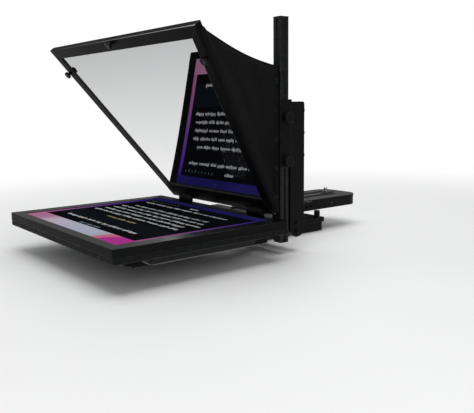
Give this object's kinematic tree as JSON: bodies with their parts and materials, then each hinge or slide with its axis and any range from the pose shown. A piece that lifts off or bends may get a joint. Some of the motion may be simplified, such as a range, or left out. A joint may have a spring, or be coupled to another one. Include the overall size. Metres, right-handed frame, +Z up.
{
  "type": "teleprompter",
  "caption": "Through-the-lens teleprompter: flat script monitor, folding mirror frame with fabric hood, slotted mast in a clamp, sliding camera plate on a riser.",
  "frame": {"origin": "centre of the head plate's underside, where the assembly sits on a tripod head", "axes": "+Z up; +Y from the presenter's side towards the camera, along the lens axis; +X to the right as the camera sees it, the side of the mast"},
  "size_m": [0.5296, 0.721, 0.4355],
  "materials": {
    "anodised_aluminium": "satin black anodised",
    "painted_aluminium": "fine textured black paint",
    "bezel_aluminium": "satin charcoal anodised",
    "chassis_plate": "plain rolled sheet",
    "steel": "zinc plated",
    "black_plastic": "moulded black",
    "rubber": "matte black",
    "hood_cloth": "matte black woven nylon",
    "beam_splitter": "partly silvered glass",
    "screen": "satin display glass showing a script",
    "diffuser": "white diffuser",
    "circuit_board": "green solder mask"
  },
  "bodies": {
    "base": {"head_plate": "anodised_aluminium", "riser_base": "anodised_aluminium", "slide_bed": "anodised_aluminium", "lock_block": "anodised_aluminium", "cross_beam": "anodised_aluminium", "upright": "anodised_aluminium", "clamp_channel": "anodised_aluminium"},
    "camera_plate": {"camera_plate": "anodised_aluminium", "plate_keeper_left": "steel", "plate_keeper_right": "steel"},
    "plate_lock": {"plate_lock_lever": "black_plastic"},
    "camera_screw": {"camera_screw": "steel"},
    "clamp_knob_lower": {"clamp_knob_lower": "black_plastic"},
    "clamp_knob_upper": {"clamp_knob_upper": "black_plastic"},
    "mast": {"mast": "anodised_aluminium", "mast_cap_top": "black_plastic", "mast_cap_bottom": "black_plastic", "cross_bar": "anodised_aluminium", "mast_foot_bracket": "anodised_aluminium", "monitor_rail_left": "anodised_aluminium", "monitor_rail_right": "anodised_aluminium", "monitor_bezel": "bezel_aluminium", "monitor_tray": "painted_aluminium", "lcd_panel": "screen", "backlight_unit": "diffuser", "monitor_chassis": "chassis_plate", "rear_cover": "black_plastic", "driver_board": "circuit_board", "power_board": "circuit_board", "connector_panel": "steel", "power_socket": "black_plastic", "monitor_foot_left": "rubber", "monitor_foot_right": "rubber", "hinge_block_left": "anodised_aluminium", "hinge_block_right": "anodised_aluminium", "hinge_pin_left": "steel", "hinge_pin_right": "steel"},
    "power_switch": {"power_switch": "black_plastic"},
    "glass_frame": {"frame_bar_bottom": "painted_aluminium", "frame_bar_top": "painted_aluminium", "frame_bar_left": "painted_aluminium", "frame_bar_right": "painted_aluminium", "mirror_glass": "beam_splitter", "glass_gasket": "rubber", "glass_retainer": "painted_aluminium", "hood_ear_left": "anodised_aluminium", "hood_ear_right": "anodised_aluminium", "hood_side_left": "hood_cloth", "hood_side_right": "hood_cloth", "hood_top": "hood_cloth"},
    "thumb_screw_left": {"thumb_screw_left": "black_plastic"},
    "thumb_screw_right": {"thumb_screw_right": "black_plastic"},
    "thumb_screw_top": {"thumb_screw_top": "black_plastic"},
    "hood_frame": {"hood_frame": "anodised_aluminium", "hood_rear_panel": "hood_cloth", "lens_sleeve": "hood_cloth", "hood_catch": "steel"}
  },
  "joints": [
    {"name": "camera_plate_slide", "type": "slide", "parent": "base", "child": "camera_plate", "axis": [0, 1, 0], "range_m": [-0.005, 0.075]},
    {"name": "plate_lock_turn", "type": "hinge", "parent": "base", "child": "plate_lock", "pos_m": [-0.0643, 0, 0.038], "axis": [1, 0, 0], "range_deg": [0, 80]},
    {"name": "camera_screw_turn", "type": "hinge", "parent": "camera_plate", "child": "camera_screw", "pos_m": [0, 0.15, 0.06], "axis": [0, 0, 1], "range_deg": [0, 720]},
    {"name": "clamp_knob_lower_turn", "type": "hinge", "parent": "base", "child": "clamp_knob_lower", "pos_m": [0.178, -0.137, 0.177], "axis": [1, 0, 0], "range_deg": [0, 540]},
    {"name": "clamp_knob_upper_turn", "type": "hinge", "parent": "base", "child": "clamp_knob_upper", "pos_m": [0.178, -0.137, 0.256], "axis": [1, 0, 0], "range_deg": [0, 540]},
    {"name": "mast_slide", "type": "slide", "parent": "base", "child": "mast", "axis": [0, 0, 1], "range_m": [-0.03, 0.06], "stiffness_N_per_m": 1000, "springref_m": 0.121},
    {"name": "power_switch_rock", "type": "hinge", "parent": "mast", "child": "power_switch", "pos_m": [-0.12, -0.2119, 0.0412], "axis": [1, 0, 0], "range_deg": [-7, 7]},
    {"name": "glass_fold", "type": "hinge", "parent": "mast", "child": "glass_frame", "pos_m": [0, -0.16168, 0.08769], "axis": [1, 0, 0], "range_deg": [0, 53], "stiffness_Nm_per_rad": 2, "springref_deg": -131.78, "deforming": ["hood_side_left", "hood_side_right", "hood_top"]},
    {"name": "hood_fold", "type": "hinge", "parent": "glass_frame", "child": "hood_frame", "pos_m": [0, -0.1575, 0.1022], "axis": [1, 0, 0], "range_deg": [0, 36.5]},
    {"name": "thumb_screw_left_turn", "type": "hinge", "parent": "glass_frame", "child": "thumb_screw_left", "pos_m": [-0.24528, -0.35889, 0.35228], "axis": [0, -0.8018, -0.5976], "range_deg": [0, 540]},
    {"name": "thumb_screw_right_turn", "type": "hinge", "parent": "glass_frame", "child": "thumb_screw_right", "pos_m": [0.24528, -0.35889, 0.35228], "axis": [0, -0.8018, -0.5976], "range_deg": [0, 540]},
    {"name": "thumb_screw_top_turn", "type": "hinge", "parent": "glass_frame", "child": "thumb_screw_top", "pos_m": [0, -0.38937, 0.39317], "axis": [0, -0.8018, -0.5976], "range_deg": [0, 540]}
  ],
  "couplings": [
    {"joint": "hood_fold", "follows": "glass_fold", "ratio": 0.6886}
  ]
}
